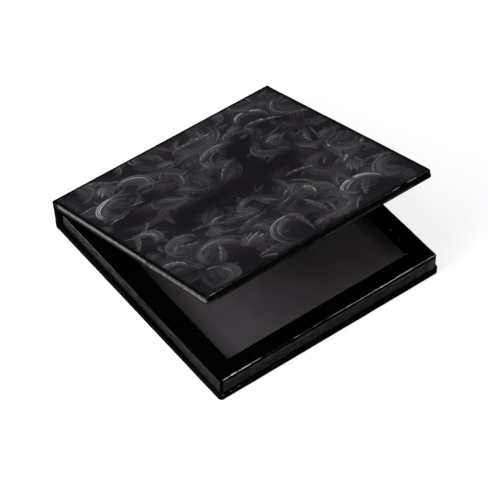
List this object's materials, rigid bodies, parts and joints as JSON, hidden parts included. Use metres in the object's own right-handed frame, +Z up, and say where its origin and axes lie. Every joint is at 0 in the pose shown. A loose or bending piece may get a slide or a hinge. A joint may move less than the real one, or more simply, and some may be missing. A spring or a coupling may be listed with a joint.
{
  "type": "magnetic makeup palette",
  "caption": "Empty book-style magnetic makeup palette: a square wrapped-board case whose lid folds open on a paper-hinged spine above a shallow magnetic well.",
  "frame": {"origin": "on the table, under the centre of the palette's overall box as it stands open", "axes": "+X to the palette's right along the spine, -Y towards the opening front edge, +Z up"},
  "size_m": [0.1, 0.104, 0.0487],
  "materials": {
    "base_board": "uncoated greyboard",
    "base_wrap": "glossy laminated black paper",
    "base_liner": "satin black paper",
    "frame_lower": "uncoated greyboard",
    "frame_middle": "uncoated greyboard",
    "frame_upper": "uncoated greyboard",
    "tray_wrap": "glossy laminated black paper",
    "magnet_sheet": "flexible ferrite-filled sheet, matt",
    "well_paper": "satin black paper",
    "tray_magnet_left": "nickel-plated magnet",
    "tray_magnet_right": "nickel-plated magnet",
    "spine_board": "uncoated greyboard",
    "spine_wrap": "glossy laminated black paper",
    "spine_liner": "satin black paper",
    "lid_board": "uncoated greyboard",
    "lid_wrap": "glossy laminated near-black paper with a grey ornament print",
    "lid_liner": "satin black paper",
    "lid_plate_left": "thin steel disc",
    "lid_plate_right": "thin steel disc"
  },
  "bodies": {
    "base": {"base_board": "base_board", "base_wrap": "base_wrap", "base_liner": "base_liner", "frame_lower": "frame_lower", "frame_middle": "frame_middle", "frame_upper": "frame_upper", "tray_wrap": "tray_wrap", "magnet_sheet": "magnet_sheet", "well_paper": "well_paper", "tray_magnet_left": "tray_magnet_left", "tray_magnet_right": "tray_magnet_right"},
    "spine": {"spine_board": "spine_board", "spine_wrap": "spine_wrap", "spine_liner": "spine_liner"},
    "lid": {"lid_board": "lid_board", "lid_wrap": "lid_wrap", "lid_liner": "lid_liner", "lid_plate_left": "lid_plate_left", "lid_plate_right": "lid_plate_right"}
  },
  "joints": [
    {"name": "spine_fold", "type": "hinge", "parent": "base", "child": "spine", "pos_m": [0, 0.05011, 0.0004], "axis": [-1, 0, 0], "range_deg": [-6.8, 83.2]},
    {"name": "lid_fold", "type": "hinge", "parent": "spine", "child": "lid", "pos_m": [0, 0.05161, 0.01296], "axis": [-1, 0, 0], "range_deg": [-13.7, 76.3]}
  ]
}
